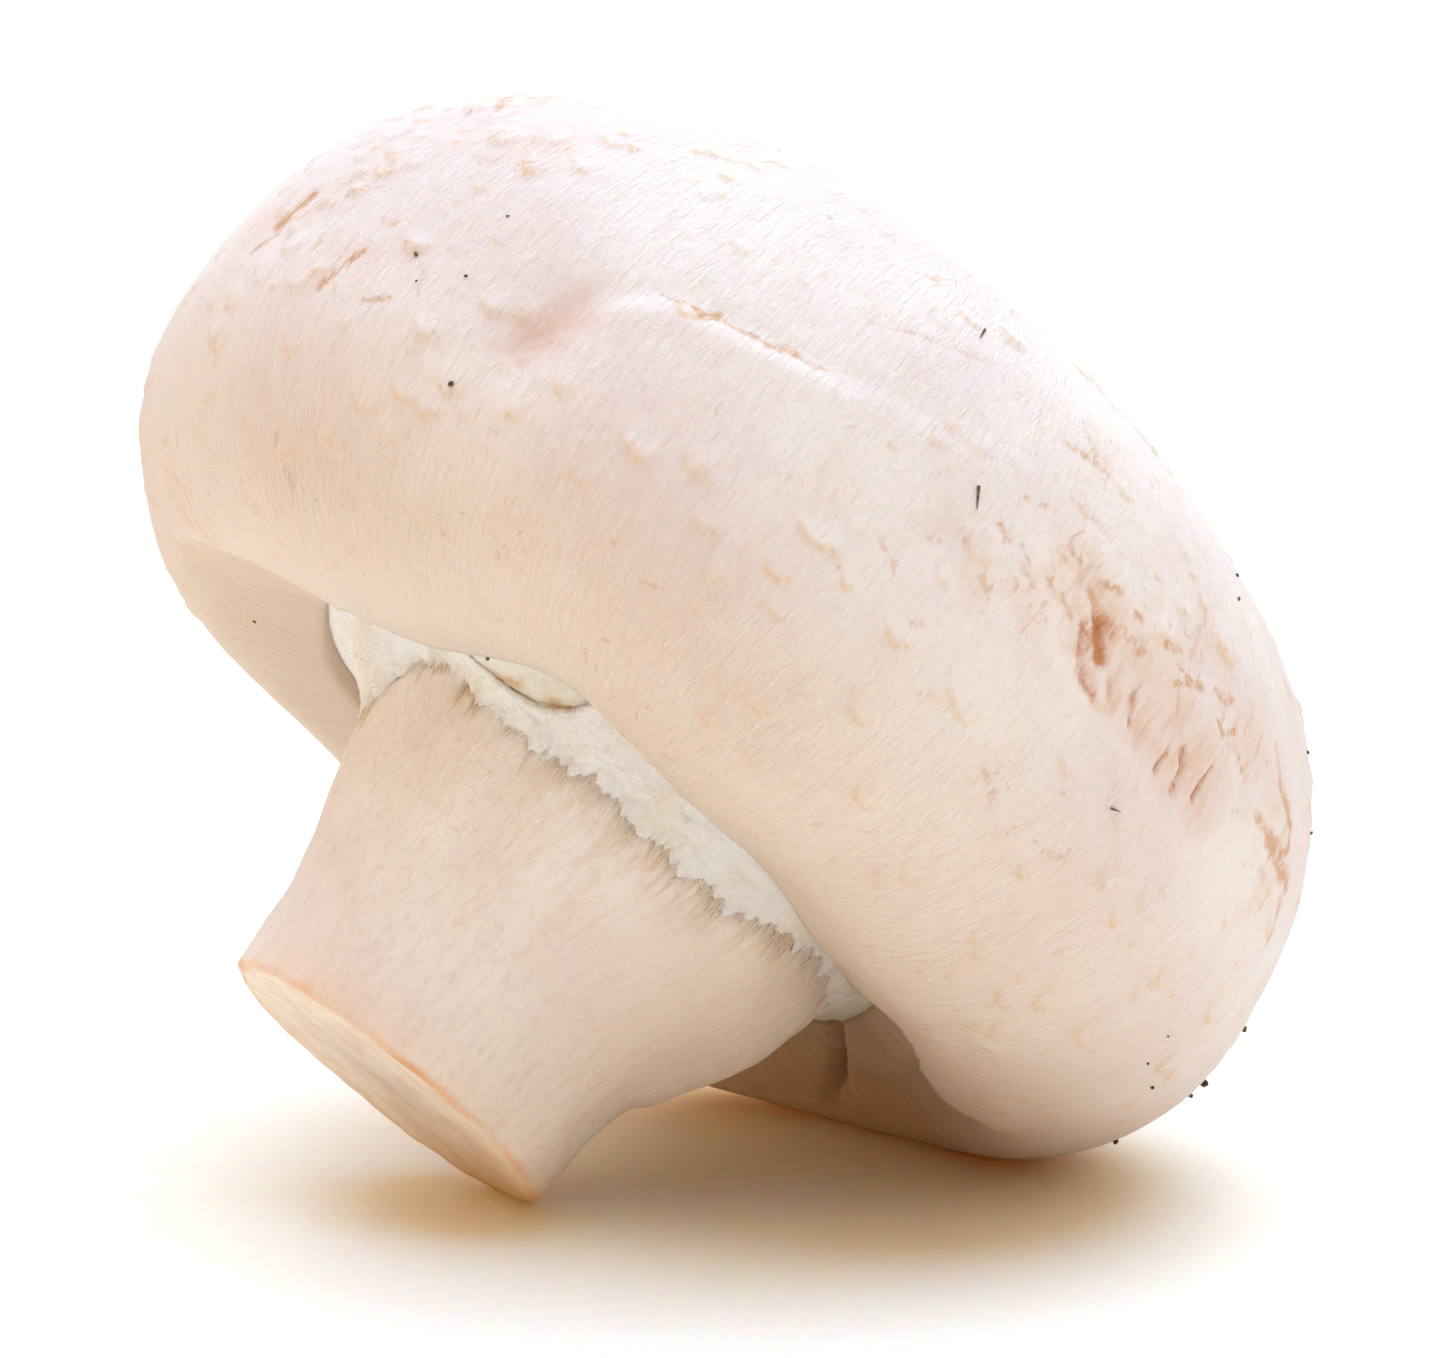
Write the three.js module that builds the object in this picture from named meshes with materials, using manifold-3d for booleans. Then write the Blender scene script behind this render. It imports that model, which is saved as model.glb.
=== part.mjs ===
// Button mushroom, picked and cut, lying on its side.
//
// Every piece is made about the stem's own axis, standing upright with the cut end at z = 0 and the crown
// at the top. The whole mushroom is then leant over until the side of the cap and the lower edge of the
// cut end rest on the ground, z = 0. Millimetres, +Z up. The crown points to +X and the cut end to -X.

import * as THREE from "three";
import { mergeVertices } from "three/addons/utils/BufferGeometryUtils.js";
import Module from "manifold-3d";

// The cap, measured from its own widest level.
const CAP_RADIUS = 26;
const CROWN_RISE = 17.6; // widest level up to the crown
const CROWN_FULLNESS = 2.5; // exponent of the dome's section: 2 is an ellipse, more is squarer
const RIM_RADIUS = 18; // ring where the rolled-in margin is lowest
const RIM_DROP = 8.3; // widest level down to that ring
const LIP_RADIUS = 13.6; // inner edge of the margin, where the veil grows from
const LIP_RISE = 0.7; // how far the margin turns up again between rim and lip
const GROOVE_RADIUS = 15; // hollow above the veil, behind the lip
const GROOVE_RISE = 3.4; // rim ring up to the ceiling of that hollow
const SOFTENING = 0.6; // bevel of the hollow's corner and height of the lip's inner edge

// The margin isn't level: how much it lifts, at angles in degrees round the cap. It droops beside the tear
// in the veil, rises over it, and stays low where the mushroom rests on it.
const MARGIN_LIFTS = [
  [0, -0.15],
  [30, -0.1],
  [60, 0.3],
  [110, 0.4],
  [140, 0.5],
  [165, 0.6],
  [178, -0.3],
  [198, -0.8],
  [210, -0.4],
  [226, 0.8],
  [242, 0.3],
  [258, -0.2],
  [274, 0],
  [290, -0.5],
  [308, -0.1],
  [318, 0.4],
  [340, -0.1],
];

// How the cap sits on the stem: a little to one side and tipped, as it grew.
const CAP_LEVEL = 20.97; // widest level above the cut end
const CAP_SHIFT = 1.09; // towards +Y
const CAP_TIP = THREE.MathUtils.degToRad(-3); // about X

// The stem: radius at heights above the cut, and the way it bends towards its top.
const STEM_PROFILE = [
  [7.6, 0],
  [7.7, 3.2],
  [8.5, 6.3],
  [10.4, 10.3],
  [11, 13],
];
const STEM_TOP = 19;
const STEM_TOP_RADIUS = 10.6;
const STEM_BEND = 0.72; // sideways, all of it gained between the two heights below
const BEND_START = 4;
const BEND_END = 12;
const BEND_TOWARDS = THREE.MathUtils.degToRad(-28);

// The veil: a thin skin from the lip of the cap down to the stem, torn open in one place.
const VEIL_THICKNESS = 0.8;
const VEIL_DROP = 1.2; // how much lower it is at the stem than at the lip
const VEIL_INNER_RADIUS = 9; // the stem then cuts its own hole in it
const TEAR_FROM = THREE.MathUtils.degToRad(201);
const TEAR_TO = THREE.MathUtils.degToRad(231);
const TEAR_DEPTH = 1.4; // inwards from the lip
const TEAR_CUT = 6; // height of the slot that cuts it, more than the veil's own height
const TEAR_STEPS = 12;

const GAP = 0.3; // left between pieces that touch
const ROUND_STEPS = 90; // facets round the cap and the veil
const STEM_STEPS = 48;

// Lying pose: how far the axis leans from upright, and where the middle of the cut end comes to.
const LEAN = THREE.MathUtils.degToRad(43.3);
const CUT_X = -15.74;
const CUT_Y = -1.11;
const CUT_Z = 5.02; // low enough for the cap's side and the cut edge to be pressed flat

const wasm = await Module();
wasm.setup();

const point = (radius, height) => new THREE.Vector2(radius, height);

// A quarter turn of a superellipse from (r0, z0) to (r1, z1); the section leaves the first point level
// and arrives at the second upright.
function quarter(r0, z0, r1, z1, fullness, steps) {
  const points = [];
  for (let i = 1; i <= steps; i++) {
    const t = (i / steps) * (Math.PI / 2);
    points.push(
      point(
        r0 + (r1 - r0) * Math.sin(t) ** (2 / fullness),
        z1 + (z0 - z1) * Math.cos(t) ** (2 / fullness),
      ),
    );
  }
  return points;
}

// A body of revolution about Z, from a section that runs from the bottom of the axis to its top.
function turned(section, steps) {
  return new THREE.LatheGeometry(section, steps).rotateX(Math.PI / 2);
}

function solidOf(geometry) {
  const bare = geometry.clone();
  bare.deleteAttribute("normal");
  bare.deleteAttribute("uv");
  const merged = mergeVertices(bare, 1e-4);
  return new wasm.Manifold(
    new wasm.Mesh({
      numProp: 3,
      vertProperties: merged.attributes.position.array,
      triVerts: merged.index.array,
    }),
  );
}

function geometryOf(solid) {
  const mesh = solid.getMesh();
  const geometry = new THREE.BufferGeometry();
  geometry.setAttribute("position", new THREE.BufferAttribute(mesh.vertProperties, 3));
  geometry.setIndex(new THREE.BufferAttribute(mesh.triVerts, 1));
  geometry.computeVertexNormals();
  return geometry;
}

// Puts a geometry made about the cap's widest level where the cap sits on the stem.
function seated(geometry) {
  return geometry.rotateX(CAP_TIP).translate(0, CAP_SHIFT, CAP_LEVEL);
}

// The margin's lift at an angle in radians, eased from one entry of the list to the next.
function marginLift(angle) {
  const turn = THREE.MathUtils.euclideanModulo(THREE.MathUtils.radToDeg(angle), 360);
  const next = MARGIN_LIFTS.findIndex(([start]) => start > turn);
  const [start, lift] = MARGIN_LIFTS.at(next < 0 ? -1 : next - 1);
  const [end, nextLift] = next < 0 ? [360, MARGIN_LIFTS[0][1]] : MARGIN_LIFTS[next];
  return THREE.MathUtils.lerp(lift, nextLift, THREE.MathUtils.smoothstep(turn, start, end));
}

// Waves the margin up and down; the wave fades out towards the widest level.
function waved(geometry) {
  const position = geometry.attributes.position;
  for (let i = 0; i < position.count; i++) {
    const height = position.getZ(i);
    const fade = THREE.MathUtils.smoothstep(-height, RIM_DROP * 0.4, RIM_DROP);
    position.setZ(i, height + fade * marginLift(Math.atan2(position.getY(i), position.getX(i))));
  }
  return geometry;
}

function capSolid() {
  const rim = point(RIM_RADIUS, -RIM_DROP);
  const ceiling = -RIM_DROP + GROOVE_RISE;
  const lipLevel = -RIM_DROP + LIP_RISE;
  const section = [
    point(0, ceiling),
    point(STEM_TOP_RADIUS, ceiling),
    point(GROOVE_RADIUS - SOFTENING, ceiling),
    point(GROOVE_RADIUS, ceiling - SOFTENING),
    point(GROOVE_RADIUS, lipLevel + 2 * SOFTENING),
    point(LIP_RADIUS, lipLevel + SOFTENING),
    point(LIP_RADIUS, lipLevel),
    point((LIP_RADIUS + RIM_RADIUS) / 2, -RIM_DROP + LIP_RISE / 5),
    rim,
    ...quarter(RIM_RADIUS, -RIM_DROP, CAP_RADIUS, 0, 2, 8),
    ...quarter(0, CROWN_RISE, CAP_RADIUS, 0, CROWN_FULLNESS, 16).reverse().slice(1),
    point(0, CROWN_RISE),
  ];
  return solidOf(seated(waved(turned(section, ROUND_STEPS))));
}

// The stem, made fatter and longer by a margin where another piece has to clear it.
function stemSolid(margin) {
  const side = new THREE.SplineCurve(STEM_PROFILE.map(([radius, height]) => point(radius, height)));
  const section = [
    point(0, 0),
    ...side.getPoints(14).map((p) => point(p.x + margin, p.y)),
    point(STEM_TOP_RADIUS + margin, STEM_TOP - 1),
    point(STEM_TOP_RADIUS - 1 + margin, STEM_TOP + margin),
    point(0, STEM_TOP + margin),
  ];
  const geometry = turned(section, STEM_STEPS);
  const position = geometry.attributes.position;
  for (let i = 0; i < position.count; i++) {
    const bend = STEM_BEND * THREE.MathUtils.smoothstep(position.getZ(i), BEND_START, BEND_END);
    position.setX(i, position.getX(i) + bend * Math.cos(BEND_TOWARDS));
    position.setY(i, position.getY(i) + bend * Math.sin(BEND_TOWARDS));
  }
  return solidOf(geometry);
}

function veilSolid() {
  const outer = LIP_RADIUS - GAP;
  const level = -RIM_DROP + LIP_RISE;
  const middle = (outer + VEIL_INNER_RADIUS) / 2;
  const section = [
    point(VEIL_INNER_RADIUS, level - VEIL_DROP),
    point(middle, level - VEIL_DROP * 0.8),
    point(outer, level),
    point(outer, level + VEIL_THICKNESS),
    point(middle, level + VEIL_THICKNESS - VEIL_DROP * 0.6),
    point(VEIL_INNER_RADIUS, level + VEIL_THICKNESS - VEIL_DROP),
    point(VEIL_INNER_RADIUS, level - VEIL_DROP),
  ];
  return solidOf(seated(waved(turned(section, ROUND_STEPS))));
}

// A pointed slot along the lip, where the veil has torn away from the cap.
function tearSolid() {
  const half = (TEAR_TO - TEAR_FROM) / 2;
  const outline = [];
  for (let i = 0; i <= TEAR_STEPS; i++) {
    const turn = -1 + (2 * i) / TEAR_STEPS;
    const radius = LIP_RADIUS + 1 - (TEAR_DEPTH + 1) * Math.sqrt(1 - turn * turn);
    const angle = TEAR_FROM + half * (1 + turn);
    outline.push(point(radius * Math.cos(angle), radius * Math.sin(angle)));
  }
  const slot = new THREE.ExtrudeGeometry(new THREE.Shape(outline), { depth: TEAR_CUT, bevelEnabled: false });
  return solidOf(seated(slot.translate(0, 0, -RIM_DROP - TEAR_CUT / 3)));
}

const material = (color, roughness) => new THREE.MeshStandardMaterial({ color, roughness, metalness: 0 });

const lying = new THREE.Group();
lying.position.set(CUT_X, CUT_Y, CUT_Z);
lying.rotation.y = LEAN;
lying.updateMatrixWorld(true);

// The ground, turned into the upright mushroom's frame, so that it can press the resting places flat.
const groundBox = new THREE.BoxGeometry(200, 200, 60).translate(0, 0, -30);
const ground = solidOf(groundBox.applyMatrix4(lying.matrixWorld.clone().invert()));

const stem = stemSolid(0);
const stemRoom = stemSolid(GAP);
const cap = capSolid().subtract(stemRoom).subtract(ground);
const veil = veilSolid().subtract(stemRoom).subtract(tearSolid());

const pieces = {
  cap: [cap, material(0xf3e6dc, 0.75)],
  stem: [stem.subtract(ground), material(0xe9dac9, 0.8)],
  veil: [veil, material(0xf4ece0, 0.9)],
};

for (const [name, [solid, finish]] of Object.entries(pieces)) {
  const mesh = new THREE.Mesh(geometryOf(solid), finish);
  mesh.name = name;
  lying.add(mesh);
}

const mushroom = new THREE.Group();
mushroom.add(lying);

export default mushroom;
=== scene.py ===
# %% [markdown]
# # A button mushroom, lying on its side
#
# A closed-cup button mushroom is three growths in one: a domed cap whose margin rolls inwards, a short
# stem that flares where it meets the cap, and a thin veil that still closes the gap between them. This
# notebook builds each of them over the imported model, dresses them with scales, a scrape, loose threads and
# soil, and gives them the soft, felted skin of fresh white mushroom.

# %% Load the frame
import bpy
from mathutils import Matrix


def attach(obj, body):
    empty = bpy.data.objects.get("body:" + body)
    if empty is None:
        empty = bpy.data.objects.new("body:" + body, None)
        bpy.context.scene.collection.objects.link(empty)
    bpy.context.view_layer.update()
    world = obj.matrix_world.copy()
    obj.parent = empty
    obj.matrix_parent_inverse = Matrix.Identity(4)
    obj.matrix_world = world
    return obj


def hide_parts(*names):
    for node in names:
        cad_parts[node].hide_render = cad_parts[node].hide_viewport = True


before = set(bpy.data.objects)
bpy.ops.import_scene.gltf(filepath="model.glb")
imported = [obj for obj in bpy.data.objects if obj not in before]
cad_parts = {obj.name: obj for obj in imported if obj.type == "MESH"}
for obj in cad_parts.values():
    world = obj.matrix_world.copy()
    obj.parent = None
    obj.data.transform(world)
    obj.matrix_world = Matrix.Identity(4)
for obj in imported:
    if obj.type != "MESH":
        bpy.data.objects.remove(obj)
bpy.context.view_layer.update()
print("frame nodes:", sorted(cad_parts))

# %% Libraries and the one seeded draw
import math
import random

import bmesh
import bpy
import numpy as np
from mathutils import Matrix, Vector, noise
from mathutils.bvhtree import BVHTree

draw = random.Random(11)

# %% [markdown]
# ## Two upright frames, laid down at the end
#
# The stem and the cap each grew round an axis of their own, and the cap sits a little tipped and to one
# side. Everything is modelled upright in millimetres round the axis that it grew about, because radius,
# angle and height are then the natural way to say where a thing is. One matrix at the end lays it down.

# %% Where the mushroom lies
MM = 0.001
LEAN = math.radians(43.3)  # how far the stem's axis leans from upright
CUT_END = Vector((-15.74, -1.11, 5.02))
CAP_SEAT = Vector((0, 1.09, 20.97))  # the cap's widest level, above the cut end
CAP_TIP = math.radians(-3)

stem_to_ground = Matrix.Scale(MM, 4) @ Matrix.Translation(CUT_END) @ Matrix.Rotation(LEAN, 4, "Y")
cap_to_stem = Matrix.Translation(CAP_SEAT) @ Matrix.Rotation(CAP_TIP, 4, "X")
cap_to_ground = stem_to_ground @ cap_to_stem

# %% [markdown]
# ## The camera and the light
#
# A long lens from far off, almost level with the table, so that the rolled margin hides most of the stem's
# top. The mushroom stands in a white tent under a broad cool skylight. Weaker panels round it keep its
# sides bright, and the warm ones stay low, so that whatever the skylight can't reach goes brown.

# %% Place the camera
AIM = Vector((-0.63, -0.80, 20.24)) * MM
TURN, RISE = math.radians(-27.72), math.radians(7.82)
AWAY = 0.2676
camera = bpy.data.objects.new("camera", bpy.data.cameras.new("camera"))
bpy.context.scene.collection.objects.link(camera)
back = Vector((math.sin(TURN) * math.cos(RISE), -math.cos(TURN) * math.cos(RISE), math.sin(RISE)))
camera.location = AIM + back * AWAY
camera.rotation_euler = back.to_track_quat("Z", "Y").to_euler()
camera.data.lens = 165.6
camera.data.clip_start = 0.01
bpy.context.scene.camera = camera

# %% [markdown]
# Colours are written as they would be picked from a paint chart, and turned linear once. Every material
# and the tent's glow are built from nodes, so one small function adds a node and links it.

# %% Colours and node trees
def linear(code):
    """An sRGB hex colour as linear RGBA."""
    parts = [int(code[i:i + 2], 16) / 255 for i in (0, 2, 4)]
    return [c / 12.92 if c <= 0.04045 else ((c + 0.055) / 1.055) ** 2.4 for c in parts] + [1.0]


def add(tree, kind, inputs=None, **settings):
    """Adds a node. A socket's value is a number, a colour or another node's output to link."""
    made = tree.nodes.new("ShaderNode" + kind)
    for name, value in settings.items():
        setattr(made, name, value)
    for name, value in (inputs or {}).items():
        if isinstance(value, bpy.types.NodeSocket):
            tree.links.new(value, made.inputs[name])
        else:
            made.inputs[name].default_value = value
    return made


def tree_of(name):
    """A new material's empty node tree, its output node and the material."""
    made = bpy.data.materials.new(name)
    made.use_nodes = True
    made.node_tree.nodes.clear()
    return made, made.node_tree, add(made.node_tree, "OutputMaterial")

# %% [markdown]
# The tent's walls give a weak orange glow to whatever lies inside, but the camera sees them as clean white
# paper. Its panels are broad suns, so that they light every part alike and their shadows stay soft.

# %% Light the tent
scene = bpy.context.scene
scene.view_settings.view_transform = "Standard"
world = bpy.data.worlds.new("light_tent")
scene.world = world
world.use_nodes = True
room = world.node_tree
room.nodes.clear()
glow = add(room, "Background", {"Color": linear("ff8a4a"), "Strength": 0.26})
paper = add(room, "Background", {"Color": (1, 1, 1, 1), "Strength": 1.1})
ray = add(room, "LightPath")
seen = ray.outputs["Is Camera Ray"]
choice = add(room, "MixShader", {"Fac": seen, 1: glow.outputs[0], 2: paper.outputs[0]})
room.links.new(choice.outputs[0], add(room, "OutputWorld").inputs["Surface"])

to_right = Vector((math.cos(TURN), math.sin(TURN), 0))
to_front = Vector((math.sin(TURN), -math.cos(TURN), 0))
# Name, height and bearing in degrees (0 is the camera's side, 90 its right), energy, width, colour.
PANELS = [
    ("skylight", 80, 170, 3.12, 75, (0.89, 1.16, 1.48)),
    ("back_panel", 24, 170, 1.05, 50, (0.95, 1.02, 0.88)),
    ("right_panel", 24, 90, 0.22, 50, (1.00, 1.00, 0.60)),
    ("left_panel", 22, 270, 0.42, 50, (1.22, 0.82, 0.12)),
    ("front_panel", 38, 20, 0.50, 60, (1.00, 1.00, 0.60)),
]
for name, rise, bearing, energy, width, colour in PANELS:
    panel = bpy.data.objects.new(name, bpy.data.lights.new(name, "SUN"))
    panel.data.energy = energy
    panel.data.angle = math.radians(width)
    panel.data.color = colour
    level = to_right * math.sin(math.radians(bearing)) + to_front * math.cos(math.radians(bearing))
    source = level * math.cos(math.radians(rise)) + Vector((0, 0, math.sin(math.radians(rise))))
    panel.rotation_euler = source.to_track_quat("Z", "Y").to_euler()
    scene.collection.objects.link(panel)

# %% [markdown]
# ## White acrylic
#
# The table is a cast acrylic sheet with a satin face. Light sinks in and comes out a little further on, so
# the shadow on it has a soft edge that turns golden.

# %% Lay the floor
floor_mesh = bpy.data.meshes.new("floor")
sheet = bmesh.new()
FLOOR_REACH = 3.0  # metres from the middle to each edge
bmesh.ops.create_grid(sheet, x_segments=8, y_segments=8, size=FLOOR_REACH)
sheet.to_mesh(floor_mesh)
sheet.free()
floor = bpy.data.objects.new("floor", floor_mesh)
scene.collection.objects.link(floor)
acrylic, tree, out = tree_of("white_acrylic")
surface = add(tree, "BsdfPrincipled", {
    "Base Color": linear("fdf8ee"),
    "Roughness": 0.6,
    "Specular IOR Level": 0.1,
    "Subsurface Weight": 1.0,
    "Subsurface Radius": (1.0, 0.42, 0.16),
    "Subsurface Scale": 0.012,
})
tree.links.new(surface.outputs[0], out.inputs["Surface"])
floor_mesh.materials.append(acrylic)

# %% [markdown]
# ## Hands for shaping
#
# A spin gives each growth its body. What makes it a mushroom, lumps, folds, dents and tears, is then
# pushed into the spun vertices, as a sculptor would do it with a thumb: each push has a place on the skin,
# a reach and a depth.

# %% Spin, measure and push
def even(points, spacing):
    """The same outline with its points evenly spaced."""
    outline = np.array(points, float)
    steps = np.hypot(*np.diff(outline, axis=0).T)
    run = np.concatenate([[0], np.cumsum(steps)])
    stops = np.linspace(0, run[-1], round(run[-1] / spacing) + 1)
    columns = [np.interp(stops, run, outline[:, column]) for column in (0, 1)]
    return np.column_stack(columns), stops


def quarter(start, end, fullness, steps=200):
    """A quarter of a superellipse that leaves the start level and reaches the end upright."""
    t = np.linspace(0, math.pi / 2, steps)
    radius = start[0] + (end[0] - start[0]) * np.sin(t) ** (2 / fullness)
    height = end[1] + (start[1] - end[1]) * np.cos(t) ** (2 / fullness)
    return list(zip(radius, height))


def spun(outline, steps):
    """Spins (radius, height) points round Z into one clean surface."""
    shape = bmesh.new()
    verts = [shape.verts.new((radius, 0, height)) for radius, height in outline]
    edges = [shape.edges.new(pair) for pair in zip(verts, verts[1:])]
    bmesh.ops.spin(shape, geom=verts + edges, cent=(0, 0, 0), axis=(0, 0, 1), angle=math.tau, steps=steps,
                   use_merge=True)
    bmesh.ops.remove_doubles(shape, verts=shape.verts, dist=1e-4)
    bmesh.ops.recalc_face_normals(shape, faces=shape.faces)
    return shape


def mesh_of(shape, name, smooth=True):
    """The shape as a mesh. Scraps of a few faces stay flat, or their bent edges would look dark."""
    mesh = bpy.data.meshes.new(name)
    shape.to_mesh(mesh)
    shape.free()
    mesh.polygons.foreach_set("use_smooth", [smooth] * len(mesh.polygons))
    return mesh


def points_of(mesh):
    """Every vertex's place, one row each."""
    flat = np.empty(len(mesh.vertices) * 3)
    mesh.vertices.foreach_get("co", flat)
    return flat.reshape(-1, 3)


def normals_of(mesh):
    """Every vertex's outward direction, one row each."""
    flat = np.empty(len(mesh.vertices) * 3)
    mesh.vertices.foreach_get("normal", flat)
    return flat.reshape(-1, 3)


def move_to(mesh, points):
    mesh.vertices.foreach_set("co", np.ascontiguousarray(points).ravel())
    mesh.update()


def polar(points):
    """Radius, angle in degrees and height round Z."""
    angle = np.degrees(np.arctan2(points[:, 1], points[:, 0])) % 360
    return np.hypot(points[:, 0], points[:, 1]), angle, points[:, 2]


def apart(angle, middle):
    """Degrees from a middle angle, from -180 to 180."""
    return (angle - middle + 180) % 360 - 180


def ramp(value, low, high):
    """0 at low, 1 at high, and a smooth rise between them."""
    t = np.clip((value - low) / (high - low), 0, 1)
    return t * t * (3 - 2 * t)


def around(angle, knots):
    """A smooth value all the way round, through (angle, value) knots."""
    angles, values = zip(*sorted(knots))
    spread = (-6, -4, -2, 0, 2, 4, 6)
    return sum(np.interp(angle + d, angles, values, period=360) for d in spread) / len(spread)


def lumps(points, size, seed):
    """Soft random lumps about this many millimetres across, from -1 to 1."""
    shift = Vector((seed * 7.31, seed * 3.17, seed * 5.53))
    return np.array([noise.noise(Vector(p) / size + shift) for p in points])


def paint(mesh, name, values):
    """Stores one number or one vector for each vertex, for a material to read."""
    values = np.asarray(values, float)
    kind, field = ("FLOAT_VECTOR", "vector") if values.ndim == 2 else ("FLOAT", "value")
    layer = mesh.attributes.new(name, kind, "POINT")
    layer.data.foreach_set(field, values.ravel())


def grain_of(angle, ring, run):
    """Millimetres round a ring, as a circle without a seam, and along the growth."""
    turn = np.radians(angle)
    return np.column_stack([ring * np.cos(turn), ring * np.sin(turn), run])


def finish_piece(mesh, name, material, slot, to_ground, *nodes, thickness=0):
    """Lays a mesh down in metres, on or above the ground, and rides it on the one body."""
    mesh.transform(to_ground)
    points = points_of(mesh)
    points[:, 2] = np.maximum(points[:, 2], 0)
    move_to(mesh, points)
    piece = bpy.data.objects.new(name, mesh)
    scene.collection.objects.link(piece)
    mesh.materials.append(material)
    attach(piece, "root")
    if nodes:
        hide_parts(*nodes)
    if thickness:
        wall = piece.modifiers.new("thickness", "SOLIDIFY")
        wall.thickness = thickness * MM
        wall.offset = -1
    mesh.calc_loop_triangles()
    print(name, len(mesh.loop_triangles), "triangles")

# %% [markdown]
# ## The cap
#
# The dome is close to a superellipse, squarer than a half ball. Below its widest level it rolls under in
# a quarter circle, turns up a little to the lip that the veil grows from, and hollows out behind it.
# Heights are measured from the widest level.

# %% Spin the cap
CAP_RADIUS, CROWN_RISE = 26, 17.6
RIM_RADIUS, RIM_DROP = 18, 8.3
LIP_RADIUS, LIP_RISE = 13.6, 0.7
dome = quarter((0, CROWN_RISE), (CAP_RADIUS, 0), 2.5)
roll = quarter((RIM_RADIUS, -RIM_DROP), (CAP_RADIUS, 0), 2)[::-1]
lip = [
    (LIP_RADIUS + (RIM_RADIUS - LIP_RADIUS) * math.cos(t),
     -RIM_DROP + LIP_RISE * (1 - math.cos(t / 1.2)) / 0.75)
    for t in np.linspace(0, math.pi / 2, 40)[1:]
]
lip_end = lip[-1][1]
hollow = [
    (LIP_RADIUS, lip_end + 0.9), (15, lip_end + 1.7), (15.4, -5.0), (12.5, -4.4), (12.4, -1.6), (0, -1.6),
]
skin_outline, skin_run = even(dome + roll[1:] + lip, 0.42)
cap_shape = spun(list(skin_outline) + hollow, 360)


def on_scaly_flank(vert):
    """The flank that shows its scales gets a mesh twice as fine."""
    turn = math.degrees(math.atan2(vert.co.y, vert.co.x)) % 360
    return 160 < turn < 318 and math.hypot(vert.co.x, vert.co.y) > 13.7 and -8.4 < vert.co.z < 15


fine_edges = [edge for edge in cap_shape.edges if all(on_scaly_flank(vert) for vert in edge.verts)]
bmesh.ops.subdivide_edges(cap_shape, edges=fine_edges, cuts=1, use_grid_fill=True)
cap_mesh = mesh_of(cap_shape, "cap")
smooth_cap = points_of(cap_mesh)
radius, angle, height = polar(smooth_cap)
print("cap points:", len(smooth_cap))

# %% [markdown]
# The margin is not level: it lifts over the tear in the veil, hangs lower to either side of it, and folds
# in a deep crease on the side that lies towards the ground. The knots say by how much, round the rim: an
# angle and a lift for the wave, a radius and an angle for the folds and the crease. The dome is lumped by
# a few broad thumbs, and the side that it lies on bulges out beside its resting place.

# %% Wave the margin and lump the dome
MARGIN_WAVE = [
    (0, -0.2), (30, -0.3), (50, -0.2), (70, 0.1), (100, 0.1), (128, -0.3), (150, -0.1), (178, -0.3),
    (192, -0.7), (200, -0.8), (209, -0.45), (217, 0.35), (227, 0.9), (240, 0.35), (258, -0.2), (272, 0.0),
    (290, -0.5), (303, -0.2), (316, 0.0), (332, -0.3), (350, -0.3),
]
FOLD_LEFT = [(12.5, 168), (13.2, 171), (14.5, 173), (15.7, 171), (17.2, 167), (19.0, 157), (22, 140)]
FOLD_RIGHT = [
    (12.5, 316), (13.0, 312), (14.5, 308), (15.8, 309), (16.5, 314), (16.9, 323), (18.1, 326), (22, 328),
]
CREASE = [(12.0, 338), (12.7, 345), (14.3, 353), (16.8, 363), (18.7, 370)]


def rim_lift(angle, radius):
    """How far the margin lifts: its wave, the far side's step behind the two folds, and the crease."""
    left = apart(angle, np.interp(radius, *zip(*FOLD_LEFT)))
    right = apart(angle, np.interp(radius, *zip(*FOLD_RIGHT)))
    soft = 1.6 + 3.5 * ramp(radius, 14.5, 19)
    far = 1 - ramp(left, -soft, soft) * ramp(-right, -1.5, 1.5)
    near_fold = np.exp(-(np.minimum(np.abs(left), np.abs(right)) / 42) ** 2)
    step = far * (0.35 + 0.80 * near_fold + 0.5 * np.exp(-(right / 25) ** 2))
    step = step * (1 - 0.9 * ramp(radius, 16.5, 22))
    groove = np.exp(-(apart(angle, np.interp(radius, *zip(*CREASE))) * np.radians(radius) / 0.35) ** 2)
    return around(angle, MARGIN_WAVE) + step + 1.1 * groove * (1 - ramp(radius, 17, 20))


below = ramp(-height, 2.5, RIM_DROP - 0.3) * ramp(radius, 12.6, 13.4)
pushed = smooth_cap.copy()
pushed[:, 2] += below * rim_lift(angle, radius)
move_to(cap_mesh, pushed)

skin = ramp(radius, 12.6, 14) + ramp(height, -1, 1) > 0.5
outwards = normals_of(cap_mesh)
push = np.zeros(len(pushed))


def place(middle, level):
    """Millimetres round and up the wall of the cap from a place on it to every vertex."""
    round_wall = CAP_RADIUS * np.radians(apart(angle, middle)) * np.clip(radius / CAP_RADIUS, 0.3, 1)
    return round_wall, height - level


def thumb(middle, level, wide, tall, depth):
    """Presses in, or with a negative depth pulls out, one soft oval."""
    across, up = place(middle, level)
    return -depth * np.exp(-(across / wide) ** 2 - (up / tall) ** 2)


push += thumb(192, 14, 11, 6, -0.40)  # shoulder of the crown
push += thumb(282, 14, 10, 6, 0.38)  # the flatter side of the crown
push += thumb(332, 0, 9, 6, -0.25)  # the flank towards the ground
push += thumb(152, -1, 8, 7, 0.30)  # the far flank
push += thumb(130, -8, 9, 4, -0.35)  # the margin under it

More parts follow.
